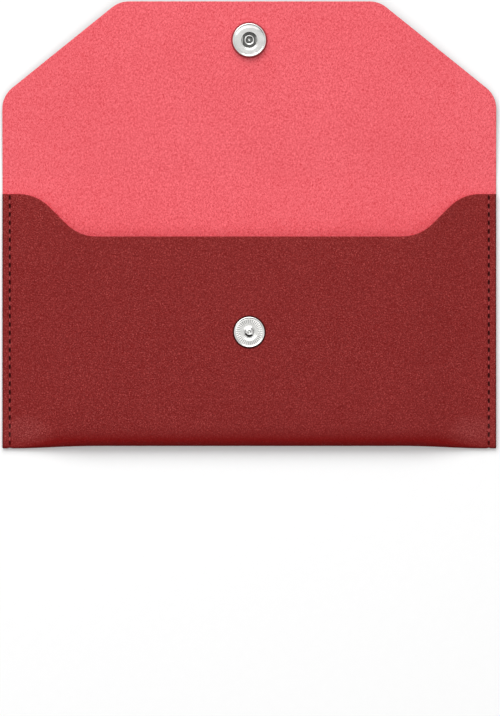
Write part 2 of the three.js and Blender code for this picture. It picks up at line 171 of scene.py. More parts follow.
class WalletColorSettings(bpy.types.PropertyGroup):
    """Base colours"""

    # Crest and valley hold the grain's tone together with a painted highlight on the crests and
    # painted shade in the valleys.
    crest: swatch("Grain crest", "Raised grain of the outside", 0.475, 0.065, 0.06)
    valley: swatch("Grain valley", "Creases in the grain of the outside", 0.185, 0.001, 0.001)
    # The lower corners' grain colour is a painted highlight.
    highlit: swatch("Rubbed grain", "Grain at the rubbed lower corners", 0.5, 0.115, 0.11)
    nap_light: swatch("Light nap", "Lining brushed towards the light", 1.0, 0.196, 0.228)
    nap_dark: swatch("Dark nap", "Lining brushed away from the light", 0.67, 0.048, 0.062)
    cut_edge: swatch("Cut edge", "Painted cut edges", 0.34, 0.022, 0.026)
    thread: swatch("Thread", "Sewing thread", 0.37, 0.05, 0.05)
    # The needle hole colour is painted shade, also used round the stud and at the thread's ends.
    hole: swatch("Needle hole", "Deep shade at the needle holes", 0.042, 0.001, 0.001)
    nickel: swatch("Nickel", "Plated snap parts", 0.76, 0.755, 0.735)
    spring: swatch("Spring wire", "Wire in the socket", 0.55, 0.55, 0.53)


class WalletStageSettings(bpy.types.PropertyGroup):
    """Camera, light and the places of the creases"""

    frame_height: length("Frame height", "Height of the picture on the table", 241.8)
    distance: length("Camera distance", "Camera to the table", 1300)
    center_x: length("Centre X", "Middle of the picture across the wallet", 0.24)
    below_top: length("Below top", "Pocket's top corners to the middle of the picture", 55.3)
    sky: power("Sky", "Strength of the even light all round", 0.49)
    key: power("Key light", "Softbox behind the flap, in watts", 15.6)
    fill: power("Fill light", "Softbox at the front, in watts", 2.0)
    lower_crease: crease("Lower crease", "Point on the lower crease's axis", "lower_crease")
    upper_crease: crease("Upper crease", "Point on the upper crease's axis", "upper_crease")


def values_of(*names):
    """The scene's groups of wallet settings by name"""
    return [getattr(bpy.context.scene, "wallet_" + name) for name in names]


# Places that the frame gives


def places():
    """Where the wallet's parts are, from the frame's solids and joints"""
    sheet, flap, stage = values_of("sheet", "flap", "stage")
    low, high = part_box("pocket")
    stud_low, stud_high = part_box("snap_stud")
    stud_y = (stud_low.y + stud_high.y) / 2
    lower, upper = Vector(stage.lower_crease), Vector(stage.upper_crease)
    lining = sheet.thickness - upper.z
    # The open flap's rise puts its tip as high as the frame's solid has it.
    tip = (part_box("flap")[1].z - upper.z) / math.hypot(flap.length, lining)
    return {
        "half_width": high.x,
        "bottom": low.y,
        "top": high.y,
        "cavity": high.z - 2 * sheet.thickness,
        "stud": Vector((0, stud_y, high.z)),
        "lower": lower,
        "upper": upper,
        "band_middle": (lower.y + upper.y) / 2,
        "reach": lower.y - stud_y,
        "lining": lining,
        "rise": math.asin(tip) + math.atan2(-lining, flap.length),
    }


def needle_holes(place):
    """Y of each needle hole"""
    seam = bpy.context.scene.wallet_seam
    first, last = place["bottom"] + seam.bottom_margin, place["top"] - seam.top_margin
    return np.linspace(first, last, seam.stitches + 1)


def on_flap(place, y, z):
    """Frame point of a point in the flap's own axes, whose origin is on the upper crease"""
    c, s = math.cos(place["rise"]), math.sin(place["rise"])
    return place["upper"] + Vector((0, y * c - z * s, y * s + z * c))


def smoothstep(t):
    """0 to 1, level at both ends"""
    t = np.clip(t, 0, 1)
    return t * t * (3 - 2 * t)


# Mesh helpers


def mesh_object(name, vertices, faces, slots, materials, uv=None, sharp=None):
    """A smooth-shaded object from arrays of vertices and quads or triangles"""
    mesh = bpy.data.meshes.new(name)
    mesh.from_pydata([tuple(v) for v in vertices], [], [tuple(int(i) for i in f) for f in faces])
    for material in materials:
        mesh.materials.append(material)
    mesh.polygons.foreach_set("material_index", np.asarray(slots, np.int32))
    mesh.polygons.foreach_set("use_smooth", np.ones(len(mesh.polygons), bool))
    if uv is not None:
        corners = np.zeros(len(mesh.loops), np.int32)
        mesh.loops.foreach_get("vertex_index", corners)
        layer = mesh.uv_layers.new(name="flat_cut")
        layer.data.foreach_set("uv", np.asarray(uv, np.float32)[corners].ravel())
    if sharp is not None:
        mesh.set_sharp_from_angle(angle=math.radians(sharp))
    mesh.update()
    obj = bpy.data.objects.new(name, mesh)
    bpy.context.scene.collection.objects.link(obj)
    return obj


def grid_faces(rows, columns, start=0, flip=False):
    """Quads of a grid of vertices numbered row by row"""
    r, c = np.meshgrid(np.arange(rows - 1), np.arange(columns - 1), indexing="ij")
    a = start + (r * columns + c).ravel()
    quads = np.stack([a, a + 1, a + columns + 1, a + columns], axis=1)
    return quads[:, ::-1] if flip else quads


def sheet_object(name, middle, normal, outer, inner, flat, materials):
    """A closed sheet of cloth round a grid of middle points, with a rim on all four sides.

    normal points to the outside; outer and inner are the two half thicknesses, and flat
    holds each point's place on the flat cut, in metres. The first row has sharp edges,
    because the cloth runs on there in the next piece.
    """
    rows, columns = middle.shape[:2]
    count = rows * columns
    out = middle + normal * outer[..., None]
    lining = middle - normal * inner[..., None]
    border = [(0, c) for c in range(columns)] + [(r, columns - 1) for r in range(1, rows)]
    border += [(rows - 1, c) for c in range(columns - 2, -1, -1)]
    border += [(r, 0) for r in range(rows - 2, 0, -1)]
    br, bc = (np.array(v) for v in zip(*border))
    vertices = np.concatenate([out.reshape(-1, 3), lining.reshape(-1, 3), middle[br, bc]])
    uv = np.concatenate([flat.reshape(-1, 2), flat.reshape(-1, 2), flat[br, bc]])
    edge = br * columns + bc
    after = np.roll(edge, -1)
    core = 2 * count + np.arange(len(edge))
    core_after = np.roll(core, -1)
    cross = np.cross(out[0, 1] - out[0, 0], out[1, 0] - out[0, 0])
    flip = float(cross @ normal[0, 0]) < 0
    rim_out = np.stack([edge, core, core_after, after], axis=1)
    rim_in = np.stack([core, edge + count, after + count, core_after], axis=1)
    rims = np.concatenate([rim_out, rim_in])
    faces = [grid_faces(rows, columns, 0, flip), grid_faces(rows, columns, count, not flip)]
    faces.append(rims[:, ::-1] if flip else rims)
    faces = np.concatenate(faces)
    quads = (rows - 1) * (columns - 1)
    slots = np.concatenate([np.zeros(quads), np.ones(quads), np.full(len(rims), 2)])
    obj = mesh_object(name, vertices, faces, slots, materials, uv * UV_SCALE + UV_MIDDLE)
    pairs = np.zeros(2 * len(obj.data.edges), np.int32)
    obj.data.edges.foreach_get("vertices", pairs)
    first_row = ((pairs < 2 * count) & (pairs % count < columns)).reshape(-1, 2).all(axis=1)
    obj.data.edges.foreach_set("use_edge_sharp", first_row)
    return obj


def normals_of(middle, toward):
    """Unit normals of a grid of points, turned to the side given at its first point"""
    along = np.gradient(middle, axis=0)
    across = np.gradient(middle, axis=1)
    normal = np.cross(across, along)
    normal /= np.linalg.norm(normal, axis=2, keepdims=True)
    return normal if float(normal[0, 0] @ np.array(toward)) > 0 else -normal


def edge_distances(rounding):
    """Distances from a cut edge at which the sheet has its own columns"""
    return [0.0, 0.3 * rounding, rounding]


def rounded(distance, rounding):
    """Share of the full half thickness at a distance from a cut edge"""
    t = np.clip(distance / rounding, 0, 1)
    return 0.62 + 0.38 * np.sqrt(1 - (1 - t) ** 2)


def lathe(name, profile, center, tilt, segments, sharp, shaded_faces, knurl=None):
    """A nickel solid of revolution from a closed row of (radius, height) in millimetres.

    shaded_faces tells from a face's row in the profile and its angle whether it takes
    the dark nickel that paints shade, and knurl gives a height to add from radius and angle.
    """
    angle = (np.arange(segments) * 2 * math.pi / segments)[:, None]
    radius, height = (np.repeat(v[None], segments, axis=0) for v in np.array(profile).T)
    if knurl is not None:
        height = height + knurl(radius, angle)
    points = np.stack([radius * np.cos(angle), radius * np.sin(angle), height], axis=2)
    turn = np.array(Matrix.Rotation(tilt, 3, "X"))
    points = points.reshape(-1, 3) * MM @ turn.T + np.array(center)
    n = len(profile)
    s, row = (v.ravel() for v in np.indices((segments, n)))
    here, after = s * n, (s + 1) % segments * n
    up = (row + 1) % n
    faces = np.stack([here + row, after + row, after + up, here + up], axis=1)
    slots = np.zeros(len(faces))
    slots[shaded_faces(row, (s + 0.5) * 2 * math.pi / segments)] = 1
    return mesh_object(name, points, faces, slots, nickel(), sharp=sharp)


def arc(center_r, center_z, radius, start, end, steps):
    """Profile points on an arc, angles in degrees from the outward direction"""
    angles = np.radians(np.linspace(start, end, steps))
    return [(center_r + radius * math.cos(a), center_z + radius * math.sin(a)) for a in angles]


def tube(path, radius, sides):
    """Vertices and faces of a closed tube, whose radius may be given per point and side"""
    path = np.asarray(path, float)
    tangent = np.gradient(path, axis=0)
    tangent /= np.linalg.norm(tangent, axis=1, keepdims=True)
    side = np.cross(tangent, (0.0, 0.0, 1.0))
    side[np.linalg.norm(side, axis=1) < 1e-6] = (1.0, 0.0, 0.0)
    side /= np.linalg.norm(side, axis=1, keepdims=True)
    up = np.cross(side, tangent)
    angle = (np.arange(sides) * 2 * math.pi / sides)[None, :, None]
    ring = side[:, None] * np.cos(angle) + up[:, None] * np.sin(angle)
    r = np.broadcast_to(radius, (len(path), sides))[..., None]
    points = (path[:, None] + r * ring).reshape(-1, 3)
    i, j = (v.ravel() for v in np.indices((len(path) - 1, sides)))
    here, after, k = i * sides, (i + 1) * sides, (j + 1) % sides
    faces = [tuple(q) for q in np.stack([after + j, after + k, here + k, here + j], axis=1)]
    faces.append(tuple(range(sides)))
    faces.append(tuple(range(len(points) - 1, len(points) - 1 - sides, -1)))
    return points, faces


# Materials


class Nodes:
    """Short calls for building a node tree"""

    def __init__(self, tree):
        self.tree = tree

    def set(self, node, key, value):
        socket = node.inputs[key]
        if isinstance(value, bpy.types.NodeSocket):
            self.tree.links.new(value, socket)
        elif isinstance(value, bpy.types.Node):
            self.tree.links.new(value.outputs[0], socket)
        elif socket.type == "RGBA":
            socket.default_value = (*value, 1.0)
        else:
            socket.default_value = value

    def add(self, kind, inputs=(), **settings):
        node = self.tree.nodes.new("ShaderNode" + kind)
        for key, value in settings.items():
            setattr(node, key, value)
        for key, value in dict(inputs).items():
            self.set(node, key, value)
        return node

    def math(self, operation, a, b=0.0, clamp=False):
        return self.add("Math", {0: a, 1: b}, operation=operation, use_clamp=clamp).outputs[0]

    def plus(self, a, b):
        return self.math("ADD", a, b)

    def minus(self, a, b):
        return self.math("SUBTRACT", a, b)

    def times(self, a, b):
        return self.math("MULTIPLY", a, b)

    def larger(self, a, b):
        return self.math("MAXIMUM", a, b)

    def ellipse(self, u, v, reach_u=1.0, reach_v=1.0):
        """Sum of the squares of u and v, each over its reach"""
        u2 = self.math("POWER", self.math("DIVIDE", u, reach_u), 2.0)
        return self.plus(u2, self.math("POWER", self.math("DIVIDE", v, reach_v), 2.0))

    def toward(self, vector, axis):
        """A vector's part along an axis"""
        node = self.add("VectorMath", {0: vector, 1: axis}, operation="DOT_PRODUCT")
        return node.outputs["Value"]

    def split(self, vector):
        """A vector's first two numbers"""
        return self.add("SeparateXYZ", {0: vector}).outputs[:2]

    def noise(self, vector, scale, detail=3.0, roughness=0.55, distortion=0.0):
        values = {"Vector": vector, "Scale": scale, "Detail": detail}
        values.update({"Roughness": roughness, "Distortion": distortion})
        return self.add("TexNoise", values).outputs["Fac"]

    def spread(self, value, low, high, to_low=0.0, to_high=1.0):
        """The value's place between low and high, moved to between the other two"""
        values = {0: value, 1: low, 2: high, 3: to_low, 4: to_high}
        return self.add("MapRange", values, clamp=True).outputs[0]

    def mix(self, factor, a, b):
        return self.add("Mix", {0: factor, 6: a, 7: b}, data_type="RGBA").outputs[2]

    def bump(self, height, strength, distance, **normal):
        values = {"Height": height, "Strength": strength, "Distance": distance, **normal}
        return self.add("Bump", values).outputs[0]


class Finish(Nodes):
    """The node tree of a new material"""

    def __init__(self, name):
        self.material = bpy.data.materials.new(name)
        self.material.use_nodes = True
        super().__init__(self.material.node_tree)

    def flat(self):
        """Place on the flat cut, in millimetres from the middle of the bottom fold"""
        values = {0: self.add("UVMap", uv_map="flat_cut"), 1: (-UV_MIDDLE, -UV_MIDDLE, 0)}
        shifted = self.add("VectorMath", values, operation="ADD")
        values = {0: shifted, "Scale": 1 / (UV_SCALE * MM)}
        return self.add("VectorMath", values, operation="SCALE").outputs[0]

    def finish(self, **inputs):
        for key, value in inputs.items():
            self.set(self.tree.nodes["Principled BSDF"], key.replace("_", " "), value)
        return self.material


def tint(color, factor):
    return tuple(min(1.0, c * factor) for c in color)


def bottom_offset():
    """Distance along the flat cut from the middle of the bottom fold to its edge"""
    return bpy.context.scene.wallet_sheet.thickness * 1.5


def stitch_mask(nodes, flat, place, reach_u, reach_v):
    """1 at each needle hole, falling to 0 at the given reach in millimetres"""
    seam = bpy.context.scene.wallet_seam
    across, along = (nodes.math("ABSOLUTE", value) for value in nodes.split(flat))
    holes = needle_holes(place)
    first = (holes[0] - place["bottom"] + bottom_offset()) / MM
    pitch = (holes[1] - holes[0]) / MM
    u = nodes.minus(across, (place["half_width"] - seam.inset) / MM)
    v = nodes.math("MODULO", nodes.minus(along, first - pitch / 2), pitch)
    far = nodes.ellipse(u, nodes.minus(v, pitch / 2), reach_u, reach_v)
    near = nodes.math("SUBTRACT", 1.0, far, clamp=True)
    last = first + pitch * (seam.stitches + 0.5)
    return nodes.times(near, nodes.math("LESS_THAN", along, last))


def snap_shadow_ring(nodes, flat, y, radius):
    """1 in a narrow ring of painted contact shadow round a snap part, at Y on the flat cut"""
    across, along = nodes.split(flat)
    far = nodes.math("SQRT", nodes.ellipse(across, nodes.minus(along, y / MM)))
    off = nodes.math("ABSOLUTE", nodes.minus(far, radius / MM + 0.12))
    return nodes.spread(off, 0.12, 0.42, 1.0, 0.0)


def outside_material(place):
    """Pebble grain with a painted highlight at the lower corners, smooth round the bottom fold with
    painted shade there
    """
    colors, snap = values_of("color", "snap")
    nodes = Finish("grained_outside")
    flat = nodes.flat()
    warp = nodes.add("TexNoise", {"Vector": flat, "Scale": 0.9, "Detail": 2.0})
    bent = nodes.add("VectorMath", {0: flat, 1: warp.outputs["Color"]}, operation="ADD")
    cells = {"Vector": bent, "Scale": 1.6, "Randomness": 0.95}
    pebble = nodes.add("TexVoronoi", cells, feature="DISTANCE_TO_EDGE").outputs["Distance"]
    pebble = nodes.spread(pebble, 0.0, 0.3)
    fine = nodes.noise(flat, 3.0, 3.0, 0.6)
    mottle = nodes.noise(flat, 2.4, 2.0, 0.6, 0.9)
    broad = nodes.noise(flat, 0.045, 2.0)
    # The grain's own tone, with painted highlight on the crests and painted shade in the valleys.
    grain = nodes.plus(nodes.spread(mottle, 0.3, 0.7, 0.0, 0.72), nodes.times(pebble, 0.28))
    raised = nodes.math("POWER", nodes.spread(grain, 0.14, 0.86), 2.0)
    color = nodes.mix(raised, colors.valley, colors.crest)
    color = nodes.mix(nodes.spread(broad, 0.3, 0.7, 0.0, 0.12), color, colors.valley)
    # Shade in the needle holes and round the stud.
    sunk = stitch_mask(nodes, flat, place, 0.42, 0.98)
    sunk = nodes.math("MULTIPLY", sunk, 2.6, clamp=True)
    stud_y = place["bottom"] - place["stud"].y - bottom_offset()
    groove = nodes.larger(sunk, snap_shadow_ring(nodes, flat, stud_y, snap.stud_radius))
    color = nodes.mix(groove, color, colors.hole)
    # Painted highlight at the lower corners, strongest on the raised grain.
    across, down = (nodes.math("ABSOLUTE", value) for value in nodes.split(flat))
    half = place["half_width"] / MM
    corner = nodes.ellipse(nodes.minus(across, half - 8), nodes.minus(down, 7.5), 9, 5.5)
    highlit = nodes.spread(corner, 0.0, 1.0, 0.42, 0.0)
    color = nodes.mix(nodes.times(highlit, nodes.plus(raised, 0.1)), color, colors.highlit)
    # Painted shade round the bottom fold, where the leather turns away from the light, on leather
    # that is smooth there, in a strip that narrows at the seams.
    strip = nodes.spread(across, half - 20, half - 5, 8.8, 4.6)
    smooth = nodes.spread(nodes.minus(down, strip), -4.6, 0.0, 1.0, 0.0)
    color = nodes.mix(nodes.times(smooth, 0.8), color, colors.valley)
    edge = nodes.spread(across, half - 0.55, half - 0.15, 0.0, 0.75)
    color = nodes.mix(edge, color, tint(colors.valley, 0.35))
    rough = nodes.larger(nodes.spread(fine, 0.3, 0.7, 0.34, 0.5), nodes.larger(groove, smooth))
    height = nodes.plus(nodes.times(pebble, 0.5), nodes.times(fine, 0.4))
    normal = nodes.bump(nodes.plus(height, mottle), 1.0, 0.22 * MM)
    return nodes.finish(
        Base_Color=color, Roughness=rough, Normal=normal, Specular_IOR_Level=0.22, IOR=1.45
    )


def lining_material(place):
    """Suede with a brushed nap"""
    colors, snap = values_of("color", "snap")
    nodes = Finish("suede_lining")
    flat = nodes.flat()
    stretched = nodes.add("Mapping", {"Vector": flat, "Scale": (1.0, 0.7, 1.0)})
    nap = nodes.noise(stretched, 2.5, 2.0, 0.6, 1.1)
    fine = nodes.noise(flat, 5.5, 3.0, 0.6)
    broad = nodes.noise(flat, 0.03, 2.0)
    color = nodes.mix(nodes.spread(nap, 0.3, 0.66), colors.nap_dark, colors.nap_light)
    color = nodes.mix(nodes.spread(broad, 0.3, 0.7, 0.0, 0.15), color, colors.nap_dark)
    # Painted contact shadow round the socket and painted shade in the needle holes.
    socket_y = place["upper"].y - place["bottom"] + bottom_offset() + place["reach"]
    ring = nodes.times(snap_shadow_ring(nodes, flat, socket_y, snap.socket_radius), 0.75)
    groove = nodes.larger(stitch_mask(nodes, flat, place, 0.5, 0.6), ring)
    color = nodes.mix(groove, color, tint(colors.valley, 0.9))
    height = nodes.plus(nodes.times(nap, 0.8), nodes.times(fine, 0.35))
    return nodes.finish(
        Base_Color=color, Roughness=nodes.spread(fine, 0.3, 0.7, 0.82, 0.95),
        Normal=nodes.bump(height, 0.9, 0.24 * MM), Specular_IOR_Level=0.15,
        Sheen_Weight=0.08, Sheen_Roughness=0.5,
    )


def edge_material():
    """Painted fibres of the cut edge"""
    cut_edge = bpy.context.scene.wallet_color.cut_edge
    nodes = Finish("cut_edge")
    fibre = nodes.noise(nodes.flat(), 3.2, 4.0, 0.7)
    color = nodes.mix(nodes.spread(fibre, 0.3, 0.7), tint(cut_edge, 0.7), tint(cut_edge, 1.3))
    return nodes.finish(
        Base_Color=color, Roughness=nodes.spread(fibre, 0.3, 0.7, 0.75, 0.95),
        Normal=nodes.bump(fibre, 0.5, 0.08 * MM),
    )


def thread_material():
    """Twisted thread with painted light and shade on its plies, and painted shade where it dips
    into the needle holes
    """
    colors = bpy.context.scene.wallet_color
    nodes = Finish("sewing_thread")
    along, around = nodes.split(nodes.add("UVMap", uv_map="flat_cut"))
    turns = nodes.plus(nodes.times(along, 9.0), nodes.times(around, 2.0))
    ply = nodes.math("ABSOLUTE", nodes.math("SINE", nodes.times(turns, math.pi)))
    fuzz = nodes.noise(nodes.add("TexCoord").outputs["Object"], 6000.0)
    # Lighter and darker copies of the thread's colour paint a highlight on each ply's crown and
    # shade between the plies.
    ply_lit_and_shaded = tint(colors.thread, 0.7), tint(colors.thread, 1.3)
    color = nodes.mix(nodes.spread(ply, 0.0, 0.8), *ply_lit_and_shaded)
    # Painted shade on the ends that dip into the needle holes.
    end = nodes.math("ABSOLUTE", nodes.minus(along, 0.5))
    color = nodes.mix(nodes.spread(end, 0.16, 0.27), color, colors.hole)
    return nodes.finish(
        Base_Color=color, Roughness=nodes.spread(fuzz, 0.3, 0.7, 0.55, 0.75),
        Normal=nodes.bump(nodes.plus(ply, fuzz), 0.5, 0.06 * MM), Specular_IOR_Level=0.2,
    )


def metal_material(name, base, roughness, scratch_scale):
    """Metal with faint wear and fine scratches"""
    nodes = Finish(name)
    coordinates = nodes.add("TexCoord").outputs["Object"]
    wear = nodes.noise(coordinates, 420.0, 4.0, 0.6)
    drawn = nodes.add("Mapping", {"Vector": coordinates, "Scale": (1.0, 0.12, 1.0)})
    scratch = nodes.noise(drawn, scratch_scale, 3.0, 0.7)
    color = nodes.mix(nodes.spread(wear, 0.3, 0.7), tint(base, 0.9), tint(base, 1.06))
    rough = nodes.spread(scratch, 0.3, 0.7, roughness * 0.7, roughness * 1.4)
    normal = nodes.bump(scratch, 0.12, 0.02 * MM, Normal=nodes.bump(wear, 0.18, 0.12 * MM))
    return nodes.finish(Base_Color=color, Metallic=1.0, Roughness=rough, Normal=normal)


def material(name, build, *args):
    """The material of that name, made once"""
    return bpy.data.materials.get(name) or build(*args)


def leather(place):
    """Outside, lining and cut edge of the leather cloth"""
    return [
        material("grained_outside", outside_material, place),
        material("suede_lining", lining_material, place),
        material("cut_edge", edge_material),
    ]


def metal(name, base, *args):
    return material(name, metal_material, name, base, *args)


def nickel():
    """Polished plating, and dull plating darkened to paint the shade inside the parts"""
    colors = bpy.context.scene.wallet_color
    return [
        metal("polished_nickel", tuple(colors.nickel), 0.13, 2600.0),
        metal("dull_nickel", tint(colors.spring, 0.26), 0.42, 2200.0),
    ]


# The leather cloth


def mouth_edge(place, x):
    """Y of the front panel's scooped top edge at x"""
    sheet = bpy.context.scene.wallet_sheet
    slope = math.radians(45)
    r = sheet.scoop_radius
    run_arc, drop_arc = r * math.sin(slope), r * (1 - math.cos(slope))
    drop_slope = max(0.0, sheet.scoop_depth - 2 * drop_arc)
    total = 2 * run_arc + drop_slope / math.tan(slope)
    run = place["half_width"] - sheet.shoulder - np.abs(x)
    to_end = total - run
    floor = place["top"] - 2 * drop_arc - drop_slope
    upper = place["top"] - r + np.sqrt(np.maximum(r**2 - np.clip(run, 0, run_arc) ** 2, 0))
    line = place["top"] - drop_arc - (run - run_arc) * math.tan(slope)
    lower = floor + r - np.sqrt(np.maximum(r**2 - np.clip(to_end, 0, run_arc) ** 2, 0))
    return np.where(run <= run_arc, upper, np.where(to_end >= run_arc, line, lower))


def pocket_columns(place):
    """X of the sheet's columns, closer together at the seams and the cut edges"""
    sheet, seam = values_of("sheet", "seam")
    half = place["half_width"]
    inner_end = half - 2.2 * seam.inset
    inner = np.linspace(0, inner_end, 42)[:-1]
    edge = half - np.array(edge_distances(sheet.edge_round))[::-1]
    fine = np.linspace(inner_end, edge[0], 17)[:-1]
    right = np.concatenate([inner, fine, edge])
    return np.concatenate([-right[:0:-1], right])


def pocket_grid(place):
    """Middle points of the pocket's cloth and their places on the flat cut"""
    sheet, seam = values_of("sheet", "seam")
    x = pocket_columns(place)
    t, offset = sheet.thickness, bottom_offset() - place["bottom"]
    # Room between the panels at each column, and the round bottom fold that it asks for.
    parting = place["half_width"] - seam.inset - sheet.seam_border
    ramp = smoothstep((parting - np.abs(x)) / sheet.side_ramp)
    extra = (place["cavity"] - sheet.seam_cavity) * ramp
    lean = np.arctan(extra * (1 - sheet.bottom_share) * math.pi / 2 / sheet.bottom_rise)
    radius = (t + sheet.seam_cavity + extra * sheet.bottom_share) / (1 + np.cos(lean))
    seam_radius = (t + sheet.seam_cavity) / 2
    crease = seam_radius + t / 2 - seam_radius * math.pi / 2
    start = place["bottom"] + crease + radius * (math.pi - lean) / 2
    foot = start - radius * np.sin(lean)
    # Along the seams the rows are a quarter of a stitch apart, with one at each hole.
    holes = needle_holes(place)
    quarter = (holes[1] - holes[0]) / 4
    stitched = holes[0] + quarter * np.arange(4 * seam.stitches + 1)

    def between(low, high):
        return stitched[(stitched > low + quarter / 3) & (stitched < high - quarter / 3)]

    rows, flats = [], []
    crease_low = place["lower"].y - sheet.crease_length / 2
    seam_start, seam_foot = start.min(), foot[0]
    band = np.linspace(place["band_middle"], crease_low, 15)
    for y in (*band, *between(seam_start, crease_low)[::-1], seam_start):
        share = (y - crease_low) / (seam_start - crease_low)
        level = np.where(y > crease_low, y, crease_low + share * (start - crease_low))
        rows.append(np.stack([x, level, np.full_like(x, t / 2)], axis=1))
        flats.append(level + offset)
    high, low = start + offset, -(foot + offset)
    for share in np.linspace(0, 1, 19)[1:]:
        angle = share * (math.pi - lean)
        y, z = start - radius * np.sin(angle), t / 2 + radius * (1 - np.cos(angle))
        rows.append(np.stack([x, y, z], axis=1))
        flats.append(high + (low - high) * share)
    mouth = mouth_edge(place, x)
    level = place["top"] - sheet.edge_round
    shares = (between(seam_foot, level) - seam_foot) / (level - seam_foot)
    panel = [foot + (mouth - sheet.edge_round - foot) * share for share in shares]
    panel += [mouth - distance for distance in edge_distances(sheet.edge_round)[::-1]]
    for y in panel:
        climb = np.sin(np.minimum(1, (y - foot) / sheet.bottom_rise) * math.pi / 2)
        depth = sheet.bottom_share + (1 - sheet.bottom_share) * climb
        z = 1.5 * t + sheet.seam_cavity + extra * depth
        rows.append(np.stack([x, y, z], axis=1))
        flats.append(-(y + offset))
    return np.array(rows), np.stack([np.broadcast_to(x, np.shape(flats)), flats], axis=2)


def soft_waves(x, y):
    """Gentle unevenness of the cloth, from -1 to 1"""
    waves = np.sin(x * 71 + 1.3 * np.sin(y * 58)) * np.cos(y * 83 + 0.7 + 1.1 * np.sin(x * 39))
    return 0.6 * waves + 0.4 * np.sin(x * 137 + y * 96 + 2.1)


def bend(crease):
    """Start and end of the leather that bends at a crease"""
    reach = Vector((0, bpy.context.scene.wallet_sheet.crease_length / 2, 0))
    return crease - reach, crease + reach


def build_pocket(place):
    """Back panel, bottom fold and front panel, with the lower half of the fold band"""
    sheet, seam = values_of("sheet", "seam")
    middle, flat = pocket_grid(place)
    x, y, v = middle[..., 0], middle[..., 1], flat[..., 1]
    from_seam = place["half_width"] - seam.inset - np.abs(x)
    to_mouth = mouth_edge(place, x) - y
    front = (v < 0) & (y > place["bottom"] + 3 * MM)
    # Soft waves, away from the seams, the bottom fold and the stud, and a lifted mouth.
    loose = smoothstep(from_seam / (20 * MM)) * smoothstep((y - place["bottom"]) / (22 * MM))
    loose = loose * smoothstep(np.hypot(x, y - place["stud"].y) / (11 * MM) - 0.5)
    lifted = np.exp(-to_mouth / (5 * MM)) * smoothstep(from_seam / (25 * MM))
    middle[..., 2] += front * sheet.waviness * loose * soft_waves(x, y)
    middle[..., 2] += front * sheet.mouth_lift * lifted
    normal = normals_of(middle, (0, 0, -1))
    # The thread draws the leather in at each hole, and it puffs up between them.
    holes = needle_holes(place)
    pitch = holes[1] - holes[0]
    sewn = (y > holes[0] - pitch / 2) & (y < holes[-1] + pitch / 2)
    at_hole = 0.5 + 0.5 * np.cos(2 * math.pi * (y - holes[0]) / pitch)
    groove, lip = (np.exp(-((from_seam / reach) ** 2)) * sewn for reach in (0.62 * MM, 1.7 * MM))
    press = seam.groove * groove * (0.5 + 0.5 * at_hole) + seam.puff * lip * (at_hole - 0.35)
    to_edge = np.minimum(place["half_width"] - np.abs(x), np.where(front, to_mouth, 1.0))
    shape = rounded(to_edge, sheet.edge_round)
    outer, inner = (sheet.thickness / 2 - press) * shape, sheet.thickness / 2 * shape
    obj = sheet_object("pocket_leather", middle, normal, outer, inner, flat, leather(place))
    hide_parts("pocket", "fold_band")
    start, end = bend(place["lower"])
    start.z = end.z = sheet.thickness / 2
    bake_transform(obj)


def flap_half_width(place, s):
    """Half the flap's width at a distance s past the upper crease"""
    flap = bpy.context.scene.wallet_flap
    half, tip, r = place["half_width"], flap.tip_width / 2, flap.corner_radius
    shoulder = flap.length - flap.taper_length
    slope = math.hypot(half - tip, flap.taper_length)
    down, along = (half - tip) / slope, flap.taper_length / slope
    side_tangent = r * math.tan(math.acos(along) / 2)
    tip_tangent = r * math.tan(math.acos(down) / 2)

    def corner(top, start):
        return top - r + np.sqrt(np.maximum(r**2 - np.clip(s - start, 0, r) ** 2, 0))

    side_start = shoulder - side_tangent
    width = np.where(s <= side_start, half, corner(half, side_start))
    line = half - (s - shoulder) * down / along
    width = np.where(s > shoulder + side_tangent * along, line, width)
    tip_arc = corner(tip - tip_tangent + r, flap.length - r)
    return np.where(s > flap.length - tip_tangent * along, tip_arc, width)


def build_flap(place):
    """Upper half of the fold band and the flap"""
    sheet, flap = values_of("sheet", "flap")
    reach, rounding, upper = sheet.crease_length / 2, sheet.edge_round, place["upper"]
    shoulder, tip = flap.length - flap.taper_length, flap.length - flap.corner_radius
    # Distances past the upper crease, closer where the cloth bends or its outline turns.
    stops = (
        (place["band_middle"] - upper.y, 20), (2 * reach, 14), (shoulder - 6 * MM, 16),
        (shoulder + 5 * MM, 14), (tip, 1),
    )
    rows = [np.linspace(low, high, n)[:-1] for (low, n), (high, _) in zip(stops, stops[1:])]
    turning = np.sin(np.linspace(0, math.pi / 2, 16))[:-1]
    rows.append(tip + (flap.corner_radius - rounding) * turning)
    rows.append(flap.length - np.array(edge_distances(rounding))[::-1])
    rows = np.concatenate(rows)
    width = flap_half_width(place, rows)
    inward = rounding * np.array([16, 8, 3.2, 1, 0.3, 0])
    right = [share * (width - inward[0]) for share in np.linspace(0, 1, 34)[:-1]]
    right = np.array(right + [width - distance for distance in inward]).T
    x = np.concatenate([-right[:, :0:-1], right], axis=1)
    s = np.broadcast_to(rows[:, None], x.shape)
    loose = smoothstep((s - 3 * MM) / (12 * MM))
    loose = loose * smoothstep(np.hypot(x, s - place["reach"]) / (12 * MM) - 0.6)
    z = sheet.thickness / 2 - upper.z + 1.2 * sheet.waviness * soft_waves(x + 0.03, s) * loose
    turn = place["rise"] * smoothstep((s + reach) / (2 * reach))
    y = upper.y + s * np.cos(turn) - z * np.sin(turn)
    middle = np.stack([x, y, upper.z + s * np.sin(turn) + z * np.cos(turn)], axis=2)
    normal = normals_of(middle, (0, 0, -1))
    normal[0] = (0, 0, -1)
    to_edge = np.minimum(width[:, None] - np.abs(x), flap.length - s)
    half = sheet.thickness / 2 * rounded(to_edge, rounding)
    flat = np.stack([x, upper.y - place["bottom"] + bottom_offset() + s], axis=2)
    obj = sheet_object("flap_leather", middle, normal, half, half, flat, leather(place))
    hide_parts("flap")
    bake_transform(obj)


# The seams


